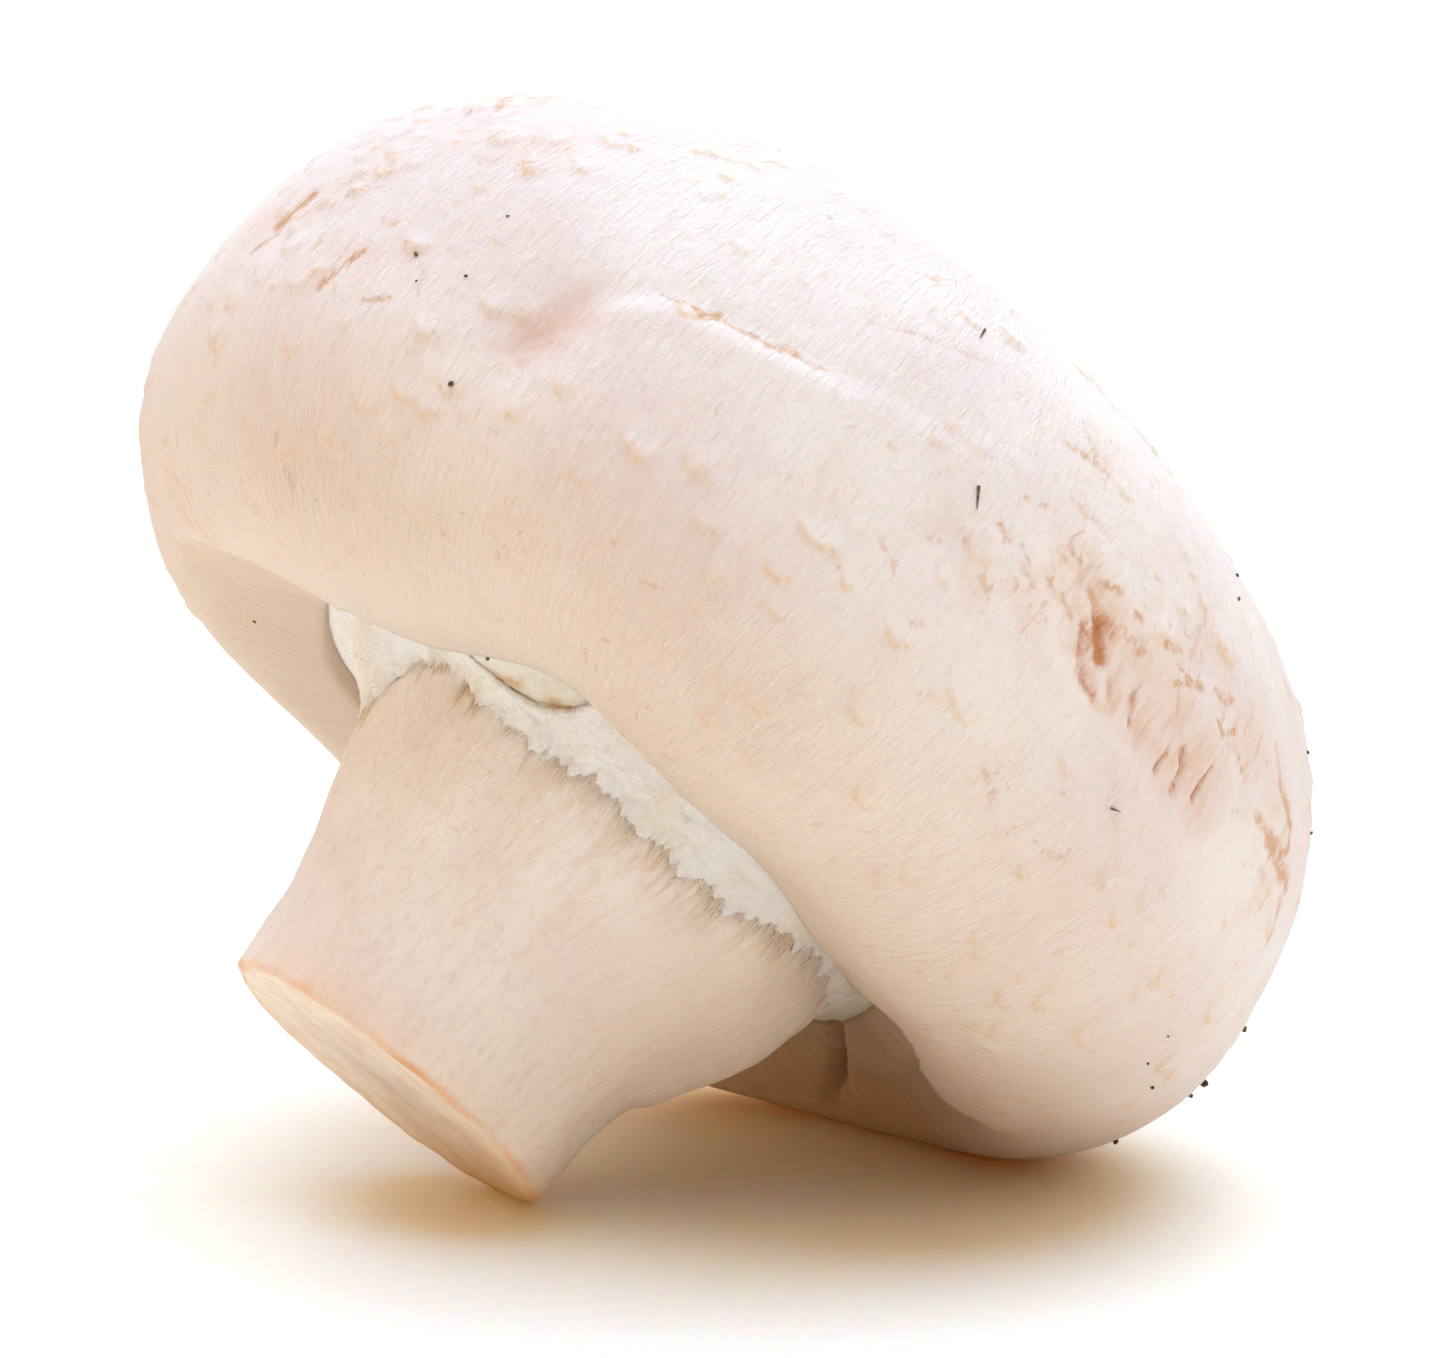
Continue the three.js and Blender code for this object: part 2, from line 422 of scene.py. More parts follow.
BULGE = 9.5  # mm that it would stand out a quarter turn away, if it went on so far
BULGE_LEVEL, BULGE_TALL = -6, 4.5
off_rest = np.maximum(apart(angle, 0), 0)
bulge = BULGE * (1 - np.cos(np.radians(off_rest))) * (1 - ramp(off_rest, 34, 60))
push += bulge * np.exp(-((height - BULGE_LEVEL) / BULGE_TALL) ** 2)
push += 0.16 * lumps(smooth_cap, 9, 1) + 0.07 * lumps(smooth_cap, 3.6, 2) + 0.030 * lumps(smooth_cap, 1.3, 3)
push += 0.014 * lumps(smooth_cap, 0.7, 12)

# %% [markdown]
# A long ridge runs up the flank: the flesh below it swelled and the skin above it split. It is drawn as a
# line of (angle, height) stops, and every vertex is pushed by how far below the line it lies. The bruise
# is a thumb print at the ridge's lower end, and a shallow valley runs from it down to the margin. The
# scrape is a band of shredded flesh further round the flank, with a low swollen rim.

# %% Ridge, bruise, valley and scrape
turn_in_outline = np.unwrap(np.arctan2(skin_outline[:, 1] + 3, skin_outline[:, 0]))[::-1]
cap_run = np.interp(np.arctan2(height + 3, radius), turn_in_outline, skin_run[::-1])


def run_at(level):
    """The run from the crown at a height on the cap's wall."""
    return float(np.interp(-level, -skin_outline[:, 1], skin_run))


def line_distance(stops):
    """For every vertex: distance to a drawn line, positive below it, and how far along it (0 to 1)."""
    spots = np.array([(CAP_RADIUS * math.radians(apart(a, 240)), -run_at(level)) for a, level in stops])
    here = np.column_stack([CAP_RADIUS * np.radians(apart(angle, 240)), -cap_run])
    nearest, along = np.full(len(here), 1e9), np.zeros(len(here))
    for i, (start, end) in enumerate(zip(spots, spots[1:])):
        step = end - start
        t = np.clip((here - start) @ step / (step @ step), 0, 1)
        gap = here - start - t[:, None] * step
        side = np.sign(gap @ np.array([step[1], -step[0]]))
        distance = np.hypot(*gap.T)
        closer = distance < np.abs(nearest)
        nearest = np.where(closer, distance * np.where(side == 0, 1, side), nearest)
        along = np.where(closer, (i + t) / (len(spots) - 1), along)
    return nearest, along


RIDGE = [(214, 1.4), (218, 3.2), (223, 4.5), (230, 5.0), (237, 5.5), (248, 6.6), (262, 9)]
below_ridge, along_ridge = line_distance(RIDGE)
ends = ramp(along_ridge, 0, 0.12) * (1 - ramp(along_ridge, 0.6, 1))
push += 0.46 * ends * ramp(below_ridge, -0.5, 1.0) * np.exp(-np.maximum(below_ridge, 0) / 7)

BRUISE = [(217, 2.2), (214.5, 0.2)]
VALLEY = [(214, 0.5), (209, -3), (203, -6), (197, -8)]
SCRAPE = [(267, 4.8), (270, 4.0), (278, 3.8), (284, 3.6), (287, 3.4)]
from_bruise, _ = line_distance(BRUISE)
push -= 0.34 * np.exp(-(from_bruise / 1.3) ** 2)
from_valley, along_valley = line_distance(VALLEY)
push -= 0.28 * np.exp(-(from_valley / 2.6) ** 2) * (1 - ramp(along_valley, 0.8, 1))

from_scrape, _ = line_distance(SCRAPE)
scraped = np.exp(-(from_scrape / 1.7) ** 4) * (radius > 20)
flesh = lumps(smooth_cap * (1, 1, 0.6), 0.9, 4)
shredded = lumps(smooth_cap * (1.5, 1.5, 0.7), 0.55, 11)
push -= scraped * (0.24 + 0.13 * flesh + 0.07 * shredded)
push += 0.12 * np.exp(-((np.abs(from_scrape) - 2.2) / 0.7) ** 2) * (radius > 20)

# %% [markdown]
# Where the skin was rubbed, cracked or nibbled, it dries tan along the wound. A stroke is drawn by
# its strength, its half width in mm, and the (angle, height) places it passes through. The second list is
# deeper cuts, which show brown flesh inside. The many small nibbles between them are only alike, so a
# seeded draw scatters them along a few lines.

# %% Rubbed strokes and cuts
RUBBED = [
    (0.9, 0.26, [(192, -1), (194, 1)]), (1.0, 0.45, [(179, 1.5), (180, 3)]),
    (0.8, 0.25, [(178, 0), (180, 1)]), (0.7, 0.22, [(193, 2.5), (195, 2.5)]),
    (0.7, 0.20, [(203, 0), (202, 1)]), (0.7, 0.20, [(198, -1), (201, -0.5)]),
    (0.5, 0.20, [(189, -3), (190, -4)]), (0.6, 0.30, [(189, 9.5), (184, 11)]),
    (0.5, 0.25, [(177, 6), (179, 6.5)]), (0.7, 0.20, [(222, 4.5), (230, 5), (237, 5.5)]),
    (1.0, 0.28, [(226, 4.5), (227, 5)]), (0.6, 0.34, [(232, 5), (234, 5.5)]),
    (0.5, 0.24, [(237, 8.5), (242, 9.5), (248, 10.5)]), (0.6, 0.36, [(258, 10), (264, 10.5)]),
    (0.5, 0.26, [(261, 8), (266, 8)]), (0.6, 0.22, [(257, 6.5), (260, 7)]),
    (0.8, 0.34, [(297, 5), (301, 5)]), (1.0, 0.50, [(301, 5), (310, 5)]),
    (0.7, 0.40, [(310, 4.5), (312, 3)]), (0.9, 0.34, [(300, 7), (306, 6.5), (306, 5.5)]),
    (0.5, 0.30, [(297, 8), (300, 7)]), (1.0, 0.20, [(241, -8), (244, -8)]),
    (0.5, 0.22, [(232, -8), (237, -8)]), (0.6, 0.22, [(255, -8), (262, -8)]),
    (0.5, 0.36, [(268, -2.5), (271, -3)]), (0.5, 0.24, [(278, -3), (280, -2.5)]),
]
CUTS = [
    (1.0, 0.36, [(269, 5), (271, 4)]), (0.6, 0.60, [(270, 5), (269, 4)]),
    (0.75, 0.30, [(268, 4.5), (269, 3.5)]), (0.7, 0.34, [(270, 3), (272, 2.5)]),
    (0.4, 0.28, [(273, 3.5), (274, 3)]), (0.6, 0.22, [(276, 4), (277, 3)]),
    (0.75, 0.26, [(284, 4), (285, 3.5), (285, 2.5)]), (0.6, 0.20, [(282, 3.5), (282, 2.5)]),
    (0.7, 0.16, [(288, 4.5), (288, 3)]),
]

# Small nibbles: how many, between which angles, the height at either end, how far they stray, how dark.
NIBBLES = [
    (26, 257, 290, 4.5, 6.5, 0.9, 1.0),
    (8, 240, 256, 2, 1, 1.6, 0.6),
    (6, 220, 238, -5, -6, 1.5, 0.6),
]
nibbler = random.Random(21)
for amount, first, last, first_level, last_level, stray, dark in NIBBLES:
    for share in np.linspace(0, 1, amount):
        turn = first + (last - first) * share + nibbler.uniform(-1, 1)
        level = first_level + (last_level - first_level) * share ** 0.5 + nibbler.uniform(-stray, stray)
        far_end = (turn + nibbler.uniform(0.5, 2.5), level + nibbler.uniform(-0.7, 0.5))
        strength = dark * nibbler.uniform(0.5, 1.0)
        RUBBED.append((strength, nibbler.uniform(0.16, 0.26), [(turn, level), far_end]))


def stroked(strokes):
    """Paint from a list of strokes: 1 on the line of a full one, fading out over its half width."""
    marks = np.zeros(len(smooth_cap))
    away_from_seam = np.abs(apart(angle, 60)) > 40  # distances are measured from angle 240, and wrap at 60
    for strength, half_width, stops in strokes:
        distance, _ = line_distance(stops)
        marks = np.maximum(marks, strength * np.exp(-(distance / half_width) ** 2) * away_from_seam)
    return marks


rubbed = stroked(RUBBED)
cut_open = stroked(CUTS)
push -= 0.05 * rubbed + 0.26 * cut_open

# %% [markdown]
# As the cap swelled, its skin broke into small scales. Each is a wide, short tongue that rises from its
# root towards the margin and ends in a little step, often with a dry cream or tan tip. They are pushed
# into the skin one by one: some larger ones at listed places, and many small ones at random, more of them
# where the skin is scalier.

# %% Raise the scales
tips = np.zeros(len(smooth_cap))


def raise_scale(turn, run, wide, long, lift, dry):
    """Pushes up one scale with its root at an angle and a run from the crown; dry colours its tip."""
    here = np.nonzero((np.abs(cap_run - run - long / 2) < long * 1.6) & (radius > 3))[0]
    ring = np.interp(run, skin_run, skin_outline[:, 0])
    across = ring * np.radians(apart(angle[here], turn)) / (wide / 2)
    here, across = here[np.abs(across) < 1.25], across[np.abs(across) < 1.25]
    bite = draw.uniform(0, 50)
    ragged = np.array([noise.noise(Vector((a * 1.4, bite, 0))) for a in across])
    tip_at = 1 - 0.5 * across ** 2 + 0.2 * ragged
    along = (cap_run[here] - run) / long
    rise = ramp(along, -0.3, 1) * ramp(1.15 - np.abs(across), 0, 0.5)
    step = 1 - ramp(along - tip_at, 0, 0.14 / long)
    push[here] = np.maximum(push[here], push[here] + lift * rise * step)
    at_tip = ramp(along - tip_at, -0.34 / long, -0.02 / long)
    tips[here] = np.maximum(tips[here], dry * rise * step * at_tip)


SCALY = [(0, 0.7), (40, 0.6), (80, 0.75), (120, 0.65), (160, 0.75), (185, 0.95), (205, 1.0), (218, 0.7),
         (228, 0.35), (245, 0.35), (256, 0.5), (268, 0.75), (285, 0.8), (300, 0.85), (320, 0.7)]
SMALL_SCALES = 950
LARGE_SCALES = [
    (229, -1), (234, -0.5), (226, -3), (240, -3), (241, -4.5), (246, -3), (250, -5.5), (257, -3.5),
    (254, -7), (263, -5.5), (271, -7), (199, 2), (206, -1), (207, -3.5), (210, -3.5), (201, -5.5),
    (194, -6), (207, -4.5), (210, 1), (203, -7), (213, -6.5), (245, 0), (255, -1), (263, -1),
    (285, -1.5), (291, -1), (237, -2), (252, -4), (247, -6),
]
for turn, level in LARGE_SCALES:
    wide = draw.uniform(1.2, 2.2)
    raise_scale(turn, run_at(level) - 0.5, wide, draw.uniform(0.8, 1.3), draw.uniform(0.14, 0.22),
                draw.uniform(0.45, 0.85))
count = 0
while count < SMALL_SCALES:
    turn, run = draw.uniform(0, 360), draw.uniform(5, 47.5)
    ring = np.interp(run, skin_run, skin_outline[:, 0])
    chance = float(around(np.array([turn]), SCALY)[0]) * ring / CAP_RADIUS
    t = math.radians(turn)
    clump = noise.noise(Vector((math.cos(t) * 5, math.sin(t) * 5, run / 5)))
    if draw.random() > chance * (0.55 + 1.3 * clump):
        continue
    wide = draw.uniform(0.5, 1.1) if draw.random() < 0.75 else draw.uniform(1.1, 1.9)
    dry = draw.uniform(0.5, 1.0) if draw.random() < 0.45 else draw.uniform(0.0, 0.35)
    long = wide * draw.uniform(0.6, 1.0)
    lift = draw.uniform(0.04, 0.11) * (0.6 + 0.4 * wide)
    raise_scale(turn, run, wide, long, lift, dry)
    count += 1
pushed = points_of(cap_mesh) + outwards * (push * skin)[:, None]
move_to(cap_mesh, pushed)
print("scales:", count + len(LARGE_SCALES), "deepest push, mm:", round(float(push.min()), 2))

# %% [markdown]
# The skin's fibres run from the crown to the margin. A pattern that has to follow them needs to know how
# far round and how far along the skin each vertex is, so that is stored on the mesh as its grain.

# %% Store the grain and paint the marks
paint(cap_mesh, "grain", grain_of(angle, CAP_RADIUS, cap_run))

# Where the skin is stained: angle, height, half width and half height in mm, and how strongly.
STAINS = [(178, 2, 3.2, 1.8, 0.95), (186, 4, 2.6, 1.6, 0.7), (193, 0.5, 3, 1.6, 0.75),
          (186, 10.5, 4.5, 2, 0.8),
          (199, 8, 4, 2.4, 0.6), (208, 13, 5, 2, 0.6), (223, 9, 4, 2, 0.35), (240, 14, 6, 2.6, 0.45),
          (256, 9.5, 4, 2.4, 0.55), (262, 11, 2, 1.5, 0.8), (260, 3.5, 4, 2.4, 0.75), (266, 6, 3, 2.4, 0.85),
          (279, 8, 5, 2.6, 0.75), (290, 6, 3, 2.2, 0.85), (303, 5, 2.6, 3.6, 1.0), (270, -2.8, 2.2, 1.8, 0.6),
          (279, -3.1, 4, 2, 0.5), (297, -8, 4, 2, 0.55), (222, -6, 2.6, 1.5, 0.5), (238, -7.8, 4, 1.2, 0.6),
          (244, 1.6, 3, 2, 0.45), (165, -7.9, 5, 2.5, 0.6), (140, -8, 6, 2.5, 0.5), (195, -6, 4, 3, 0.5),
          (20, 4, 7, 4, 0.8), (55, 9, 8, 4, 0.6), (95, 1, 6, 3, 0.7), (120, 11, 9, 4, 0.7),
          (335, 10, 7, 3, 0.6),
          (350, -4, 5, 3, 0.6), (145, 5, 5, 3, 0.6), (75, -5, 6, 2.5, 0.6)]
stain = np.full(len(pushed), 0.16)
for middle, level, wide, tall, strength in STAINS:
    stain = np.maximum(stain, thumb(middle, level, wide, tall, -strength))
paint(cap_mesh, "stain", np.clip(stain, 0, 1))
paint(cap_mesh, "bruise", np.exp(-(from_bruise / 0.95) ** 2))
paint(cap_mesh, "sore", np.clip(scraped * (0.55 + 0.5 * flesh), 0, 1))
paint(cap_mesh, "rubbed", rubbed)
paint(cap_mesh, "cut_open", cut_open)
paint(cap_mesh, "tip", tips)
roll_under = ramp(-height, RIM_DROP - 1.6, RIM_DROP - 0.1) * ramp(-radius, -22, -17.5)
paint(cap_mesh, "under", roll_under)
paint(cap_mesh, "creamy", ramp(-height, -1, 9))  # the skin is creamier towards the margin
# Painted shade: the rolled-under margin on the far side is tinted tan-brown where little light reaches, most
# of all on the side towards the ground; the flesh of the inner margin is also a little browner.
margin_shade = ramp(np.abs(apart(angle, 240)), 78, 90)
ground_side_shade = 0.35 + 0.65 * np.exp(-(apart(angle, 0) / 42) ** 2)
paint(cap_mesh, "margin_shade", margin_shade * ground_side_shade * ramp(-height, 3.5, 7.5) * ramp(-radius, -23, -18))

# %% [markdown]
# ## Mushroom skin
#
# The skin is a felt of white threads, so it is matt and a little translucent: light sinks in and comes out
# warm, which softens every shadow. Its colour drifts from off-white to a pinkish grey, and where it has
# been touched it goes tan. Threads are a few hundredths of a millimetre thick; two noises stretched along
# the grain draw their bundles at 0.12 and 0.26 mm, coarser than life so that the felt shows at all.

# %% Skin felt
def stretched(tree, vector, round_mm, along_mm, detail=3.0, twist=0.0, rough=0.6):
    """Noise whose marks are round_mm wide round the cap and along_mm long down the grain."""
    scaled = add(tree, "Mapping", {"Vector": vector, "Scale": (1 / round_mm, 1 / round_mm, 1 / along_mm)})
    return add(tree, "TexNoise", {"Vector": scaled.outputs[0], "Scale": 1.0, "Detail": detail,
                                  "Roughness": rough, "Distortion": twist}).outputs["Fac"]


def band(tree, value, low, high, bottom=0.0, top=1.0):
    """Maps low..high to bottom..top and holds it there outside."""
    return add(tree, "MapRange", {"Value": value, "From Min": low, "From Max": high, "To Min": bottom,
                                  "To Max": top}, interpolation_type="SMOOTHSTEP").outputs["Result"]


def blend(tree, factor, first, second):
    """The first colour at 0, the second at 1."""
    return add(tree, "Mix", {"Factor": factor, "A": first, "B": second}, data_type="RGBA").outputs["Result"]


def times(tree, first, second):
    return add(tree, "Math", {0: first, 1: second}, operation="MULTIPLY").outputs[0]


def plus(tree, first, second):
    return add(tree, "Math", {0: first, 1: second}, operation="ADD").outputs[0]


def minus(tree, first, second):
    return add(tree, "Math", {0: first, 1: second}, operation="SUBTRACT").outputs[0]


def painted(tree, name):
    """A number that was painted on the piece's own vertices."""
    return add(tree, "Attribute", attribute_name=name).outputs["Fac"]


def flesh_shader(tree, colour, bump, rough, depth, glow=0.0012):
    """The matt body that every part of the mushroom shares; where depth is 0 it is a thin loose thread."""
    body = add(tree, "BsdfPrincipled", {
        "Base Color": colour,
        "Roughness": rough,
        "IOR": 1.4,
        "Specular IOR Level": 0.25,
        "Subsurface Weight": depth,
        "Subsurface Radius": (1.0, 0.55, 0.32),
        "Subsurface Scale": glow,
        "Sheen Weight": 0.12,
        "Sheen Roughness": 0.6,
        "Normal": bump,
    }).outputs[0]
    if depth:
        return body
    through = add(tree, "BsdfTranslucent", {"Color": colour}).outputs[0]
    return add(tree, "MixShader", {"Fac": 0.5, 1: body, 2: through}).outputs[0]


FLESH_DEPTH = 0.35  # the share of the light that sinks into the cap and the stem


def skin_felt():
    """Mushroom skin: white felt with cream scale tips, tan rubbed places and brown cuts."""
    made, tree, out = tree_of("mushroom_skin_felt")
    grain = add(tree, "Attribute", attribute_name="grain").outputs["Vector"]
    place_on = add(tree, "TexCoord").outputs["Object"]
    cloud = add(tree, "TexNoise", {"Vector": place_on, "Scale": 95.0, "Detail": 3.0}).outputs["Fac"]
    threads = stretched(tree, grain, 0.26, 1.1, 5.0, 0.6, 0.68)
    fine = stretched(tree, grain, 0.12, 0.45, 3.0, 0.4)
    wool = add(tree, "TexNoise", {"Vector": place_on, "Scale": 900.0, "Detail": 4.0, "Roughness": 0.7,
                                  "Distortion": 0.8}).outputs["Fac"]

    colour = blend(tree, band(tree, cloud, 0.34, 0.66), linear("f7f1ec"), linear("efe4e0"))
    # Painted highlight and shade on the felt: raised threads are painted lighter and the hollows between them
    # darker, over the felt's own tone.
    colour = blend(tree, band(tree, threads, 0.45, 0.70, 0.0, 0.22), colour, linear("fbf4ec"))
    colour = blend(tree, band(tree, threads, 0.46, 0.30, 0.0, 0.20), colour, linear("d9c3b4"))
    colour = blend(tree, times(tree, painted(tree, "creamy"), 0.55), colour, linear("ecd6b8"))
    colour = blend(tree, times(tree, painted(tree, "under"), 0.4), colour, linear("ecd9bd"))
    # Painted shade: streaky tan-brown on the far side's rolled-under margin, where little light reaches.
    streaks = stretched(tree, grain, 0.5, 5.0, 3.0, 0.3)
    shade_under_margin = times(tree, painted(tree, "margin_shade"), band(tree, streaks, 0.25, 0.65, 0.7, 1.0))
    colour = blend(tree, shade_under_margin, colour, linear("c9a37a"))
    flecks = stretched(tree, grain, 0.62, 1.25, 4.0, 0.9, 0.58)
    wash = stretched(tree, grain, 2.2, 3.4, 3.0, 0.5)
    stain_here = painted(tree, "stain")
    fleck_level = add(tree, "MapRange", {"Value": stain_here, "From Min": 0, "From Max": 1, "To Min": 0.70,
                                         "To Max": 0.50}).outputs["Result"]
    fleck = band(tree, minus(tree, flecks, fleck_level), 0.0, 0.09)
    ground_in = times(tree, times(tree, band(tree, wash, 0.38, 0.66), stain_here), 0.45)
    colour = blend(tree, ground_in, colour, linear("ecc9a6"))
    colour = blend(tree, times(tree, fleck, 0.42), colour, linear("e2b48a"))
    dry_tip = times(tree, painted(tree, "tip"), band(tree, wool, 0.25, 0.6, 0.5, 1.0))
    colour = blend(tree, dry_tip, colour, linear("ebcba4"))
    ragged = times(tree, minus(tree, flecks, 0.5), 1.6)
    nibbled = minus(tree, stretched(tree, grain, 0.32, 0.45, 4.0, 0.8), 0.5)
    ragged = plus(tree, plus(tree, ragged, times(tree, nibbled, 2.6)), 1.0)
    frayed = times(tree, painted(tree, "rubbed"), ragged)
    colour = blend(tree, times(tree, band(tree, frayed, 0.20, 0.95), 0.85), colour, linear("d8a878"))
    colour = blend(tree, times(tree, painted(tree, "bruise"), 0.5), colour, linear("e0b094"))
    torn = stretched(tree, grain, 0.42, 1.6, 4.0, 0.5)
    raw = times(tree, painted(tree, "sore"), band(tree, torn, 0.40, 0.62))
    colour = blend(tree, times(tree, painted(tree, "sore"), 0.6), colour, linear("f0d8c8"))
    colour = blend(tree, times(tree, raw, 0.55), colour, linear("e2b48c"))
    deep = times(tree, painted(tree, "cut_open"), ragged)
    colour = blend(tree, times(tree, band(tree, deep, 0.05, 1.0), 0.88), colour, linear("c67838"))

    relief = plus(tree, times(tree, threads, 0.5), times(tree, fine, 0.3))
    relief = plus(tree, relief, times(tree, wool, 0.4))
    relief = plus(tree, relief, times(tree, fleck, -0.15))
    felt = add(tree, "Bump", {"Height": relief, "Strength": 0.85, "Distance": 0.00036})
    skin_rough = band(tree, threads, 0.3, 0.7, 0.55, 0.72)
    surface = flesh_shader(tree, colour, felt.outputs[0], skin_rough, FLESH_DEPTH)
    tree.links.new(surface, out.inputs["Surface"])
    return made


finish_piece(cap_mesh, "cap", skin_felt(), "cap_skin", cap_to_ground, "cap")

# %% [markdown]
# ## The stem
#
# A short flared stalk with a flat cut end. It bends a little as it rises, and it is fluted and scuffed.
# Its upper end is seated in the cap, so only the part below the veil is seen.

# %% Spin and shape the stem
STEM_RADII = [(0.0, 7.55), (1.5, 7.62), (3.2, 7.72), (4.7, 7.95), (6.3, 8.5), (8.0, 9.3), (9.6, 10.1),
              (11.2, 10.65), (13.0, 11.0), (16.0, 10.9), (18.0, 10.6)]
STEM_BEND, BEND_TOWARDS = 0.72, math.radians(-28)


def stem_radius(level):
    """The stem's radius at a height, smoothed over its knots."""
    levels, radii = zip(*STEM_RADII)
    spread = (-0.8, -0.4, 0, 0.4, 0.8)
    return sum(np.interp(level + d, levels, radii) for d in spread) / len(spread)


side = [(float(stem_radius(z)), z) for z in np.linspace(0.12, 18, 80)]
stem_outline, _ = even([(0, 0), (7.35, 0), (7.5, 0.03), *side, (9.8, 18.8), (0, 18.8)], 0.2)
stem_mesh = mesh_of(spun(stem_outline, 300), "stem")
smooth_stem = points_of(stem_mesh)
radius, angle, height = polar(smooth_stem)
wall = ramp(radius, 5.5, 7.3) * ramp(height, -0.05, 0.35)
turn = np.radians(angle)
flute = lumps(np.column_stack([np.cos(turn) * 3.0, np.sin(turn) * 3.0, height / 16]), 1, 5)
swell = 0.30 * flute + 0.10 * lumps(smooth_stem, 2.4, 6)
swell += 0.05 * lumps(smooth_stem * (1, 1, 0.4), 0.6, 7)
flap = ramp(height, 5.3, 6.0) * (1 - ramp(height, 8.5, 11.5)) * np.exp(-((apart(angle, 330) / 17) ** 2))
swell += 0.42 * flap
out_stem = np.column_stack([np.cos(turn), np.sin(turn), np.zeros(len(angle))])
pushed = smooth_stem + out_stem * (wall * swell)[:, None]
bend = STEM_BEND * ramp(height, 4, 12)
pushed[:, 0] += bend * math.cos(BEND_TOWARDS)
pushed[:, 1] += bend * math.sin(BEND_TOWARDS)
cut = (1 - ramp(height, 0.0, 0.02)) * (radius < 7.4)
pushed[:, 2] += cut * (0.05 * lumps(smooth_stem, 1.6, 8) + 0.10 * (1 - ramp(radius, 5.5, 7.2)))
edge_nick = (height < 0.6) * ramp(radius, 6.5, 7.5)
pushed[:, 2] += edge_nick * 0.10 * lumps(smooth_stem, 1.1, 9)
move_to(stem_mesh, pushed)
STEM_RING = 9  # a middling radius of the stem
paint(stem_mesh, "grain", grain_of(angle, STEM_RING, height))
on_cut = np.clip(1 - height / 0.12, 0, 1) * (1 - ramp(radius, 7.15, 7.5))
paint(stem_mesh, "cut", on_cut)
rim = np.exp(-((height / 0.20) ** 2)) * ramp(radius, 6.9, 7.4) * (0.65 + 0.6 * lumps(smooth_stem, 2.2, 10))
paint(stem_mesh, "rim", np.clip(rim, 0, 1))
flush = np.exp(-(np.maximum(height, 0) / 1.6) ** 2) * ramp(radius, 6.9, 7.4) \
    * (0.25 + 0.75 * np.exp(-(apart(angle, 212) / 38) ** 2))
paint(stem_mesh, "flush", np.clip(flush, 0, 1))
SHADE_TOP = [(0, 12.6), (150, 11.8), (163, 11.3), (176, 13.2), (192, 13.6), (205, 12.8), (230, 12.75),
             (255, 12.35), (268, 12.2), (284, 13.1), (310, 13.9)]
under_fringe = height - around(angle, SHADE_TOP)
shade_side = 0.25 + 0.75 * np.exp(-(apart(angle, 262) / 34) ** 2)
paint(stem_mesh, "shade", ramp(under_fringe, -2.6, -0.3) * shade_side)
sallow = ramp(height, 2, 9) * np.exp(-((apart(angle, 310) / 40) ** 2))
paint(stem_mesh, "sallow", sallow)

# %% [markdown]
# ## Stem flesh
#
# The stem has no skin of its own: its surface is bundles of threads that run up it, dry and matt. The
# knife left a smooth pale face, and where the flesh has met the air along the cut's edge it turns orange.

# %% Stem material
def fibre_flesh():
    """Stem flesh: pale upright fibres, a smooth cut face and its orange edge."""
    made, tree, out = tree_of("stem_fibre_flesh")
    grain = add(tree, "Attribute", attribute_name="grain").outputs["Vector"]
    place_on = add(tree, "TexCoord").outputs["Object"]
    bundles = stretched(tree, grain, 0.45, 3.2, 5.0, 0.8)
    fuzz = stretched(tree, grain, 0.16, 0.7, 3.0, 0.6)
    cloud = add(tree, "TexNoise", {"Vector": place_on, "Scale": 160.0, "Detail": 3.0}).outputs["Fac"]
    colour = blend(tree, band(tree, cloud, 0.36, 0.66), linear("fbf8f4"), linear("f5ede8"))
    woolly = stretched(tree, grain, 0.34, 0.5, 4.0, 0.6)
    colour = blend(tree, band(tree, bundles, 0.30, 0.55, 0.18, 0.0), colour, linear("dfcdb8"))
    colour = blend(tree, band(tree, woolly, 0.30, 0.52, 0.22, 0.0), colour, linear("d6c6b8"))
    colour = blend(tree, times(tree, painted(tree, "sallow"), 0.5), colour, linear("e6d3b2"))
    colour = blend(tree, times(tree, painted(tree, "flush"), 0.35), colour, linear("f3cba8"))
    combed = stretched(tree, grain, 0.30, 1.6, 3.0, 0.3)
    shade = times(tree, painted(tree, "shade"), band(tree, combed, 0.40, 0.62))
    colour = blend(tree, times(tree, shade, 0.6), colour, linear("d6bb98"))
    pith = add(tree, "TexNoise", {"Vector": place_on, "Scale": 700.0, "Detail": 4.0}).outputs["Fac"]
    cut_colour = blend(tree, band(tree, pith, 0.35, 0.68), linear("f8ecda"), linear("eedcc4"))
    colour = blend(tree, painted(tree, "cut"), colour, cut_colour)
    colour = blend(tree, times(tree, painted(tree, "rim"), 0.85), colour, linear("e6a24c"))
    relief = plus(tree, times(tree, bundles, 0.35), times(tree, fuzz, 0.35))
    relief = plus(tree, relief, times(tree, woolly, 0.6))
    felt = add(tree, "Bump", {"Height": relief, "Strength": 0.6, "Distance": 0.0003})
    surface = flesh_shader(tree, colour, felt.outputs[0], 0.74, FLESH_DEPTH)
    tree.links.new(surface, out.inputs["Surface"])
    return made


finish_piece(stem_mesh, "stem", fibre_flesh(), "stem_flesh", stem_to_ground, "stem")

# %% [markdown]
# The veil's fringe and its threads grow on the finished stem, with all its flutes and lumps, so a search
# tree of its faces finds the place on it that is nearest to a point.

# %% Find places on the stem
upright_stem = bmesh.new()
upright_stem.from_mesh(stem_mesh)
bmesh.ops.transform(upright_stem, matrix=stem_to_ground.inverted(), verts=upright_stem.verts)
stem_surface = BVHTree.FromBMesh(upright_stem)
upright_stem.free()


